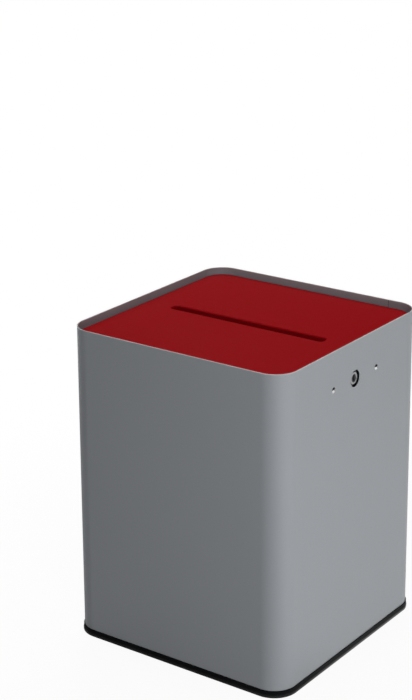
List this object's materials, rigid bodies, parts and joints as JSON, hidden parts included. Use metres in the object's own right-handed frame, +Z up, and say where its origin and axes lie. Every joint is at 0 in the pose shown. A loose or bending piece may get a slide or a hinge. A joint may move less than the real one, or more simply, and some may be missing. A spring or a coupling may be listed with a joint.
{
  "type": "secure shredding console",
  "caption": "Square locked steel console: round-cornered casing on a rubber edge trim, recessed slotted lid, cam lock in one wall, lift-out container with folding handles inside.",
  "frame": {"origin": "on the floor, below the middle of the casing", "axes": "+Z up; +X towards the wall that holds the lock, along the paper slot; -Y towards the plain front wall"},
  "size_m": [0.35, 0.35, 0.45],
  "materials": {
    "casing_paint": "silver-grey powder coat, fine texture, satin",
    "lid_paint": "red powder coat, semi-gloss",
    "trim_rubber": "extruded rubber edging, satin",
    "zinc_sheet": "galvanised sheet with a faint spangle",
    "plated_steel": "zinc plated, satin",
    "lock_metal": "nickel plated, satin",
    "plug_metal": "darkened plug face",
    "rivet_metal": "bright domed blind rivet",
    "buffer_rubber": "soft rubber pad",
    "handle_wire": "zinc plated wire"
  },
  "bodies": {
    "casing": {"body_shell": "casing_paint", "seam_strip": "casing_paint", "base_tray": "zinc_sheet", "edge_trim": "trim_rubber", "liner_guides": "zinc_sheet", "lock_bracket": "plated_steel", "bracket_rivets": "rivet_metal", "rear_ledge": "plated_steel", "ledge_rivets": "rivet_metal", "lid_buffers": "buffer_rubber", "lock_barrel": "lock_metal", "lock_washer": "plated_steel", "lock_nut": "lock_metal"},
    "lid": {"lid_panel": "lid_paint", "lid_stiffeners": "lid_paint", "catch_plate": "plated_steel"},
    "lock_core": {"lock_plug": "plug_metal", "lock_cam": "plated_steel", "cam_washer": "plated_steel", "cam_screw": "plated_steel"},
    "container": {"liner_shell": "zinc_sheet", "rim_wire": "handle_wire", "handle_clips": "plated_steel", "clip_rivets": "rivet_metal"},
    "front_bail": {"front_handle": "handle_wire"},
    "back_bail": {"back_handle": "handle_wire"}
  },
  "joints": [
    {"name": "lid_lift", "type": "slide", "parent": "casing", "child": "lid", "axis": [0, 0, 1], "range_m": [0, 0.3]},
    {"name": "lock_turn", "type": "hinge", "parent": "casing", "child": "lock_core", "pos_m": [0.15, 0, 0.397], "axis": [-1, 0, 0], "range_deg": [0, 90]},
    {"name": "container_lift", "type": "slide", "parent": "casing", "child": "container", "axis": [0, 0, 1], "range_m": [0, 0.24]},
    {"name": "front_handle_swing", "type": "hinge", "parent": "container", "child": "front_bail", "pos_m": [0, -0.15545, 0.362], "axis": [1, 0, 0], "range_deg": [0, 170]},
    {"name": "back_handle_swing", "type": "hinge", "parent": "container", "child": "back_bail", "pos_m": [0, 0.15545, 0.362], "axis": [-1, 0, 0], "range_deg": [0, 170]}
  ],
  "couplings": [
    {"joint": "container_lift", "follows": "lid_lift", "ratio": 0.8}
  ]
}
